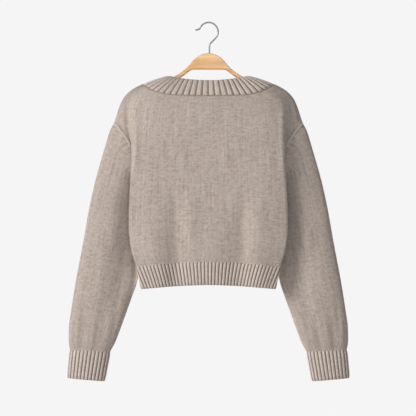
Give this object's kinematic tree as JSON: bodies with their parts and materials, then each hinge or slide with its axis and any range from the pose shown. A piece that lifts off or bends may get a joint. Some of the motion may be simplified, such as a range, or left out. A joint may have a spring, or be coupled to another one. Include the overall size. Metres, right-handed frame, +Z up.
{
  "type": "cropped cardigan on a hanger",
  "caption": "Cropped wool cardigan with ribbed bands, hem and cuffs, buttoned, hanging on a flat wooden hanger with a wire hook",
  "frame": {"origin": "inside top of the hook's bend, where the rod or peg carries it", "axes": "+Z up; +X to the wearer's right; the garment's back faces -Y and its buttoned front +Y"},
  "size_m": [0.5948, 0.121, 0.7546],
  "materials": {
    "knit": "plain wool jersey, beige-grey marl",
    "rib": "wool rib knit, beige-grey marl",
    "button": "plain dished button, low gloss",
    "wood": "honey-coloured varnished wood",
    "steel": "bent steel wire"
  },
  "bodies": {
    "root": {"back": "knit", "front_left": "knit", "front_right": "knit", "sleeve_left": "knit", "sleeve_right": "knit", "cuff_left": "rib", "cuff_right": "rib", "hem_back": "rib", "hem_front_left": "rib", "hem_front_right": "rib", "neckband_back": "rib", "band_left": "rib", "band_right": "rib", "button_1": "button", "button_2": "button", "button_3": "button", "button_4": "button", "button_5": "button", "hanger": "wood", "hook": "steel"}
  },
  "joints": []
}
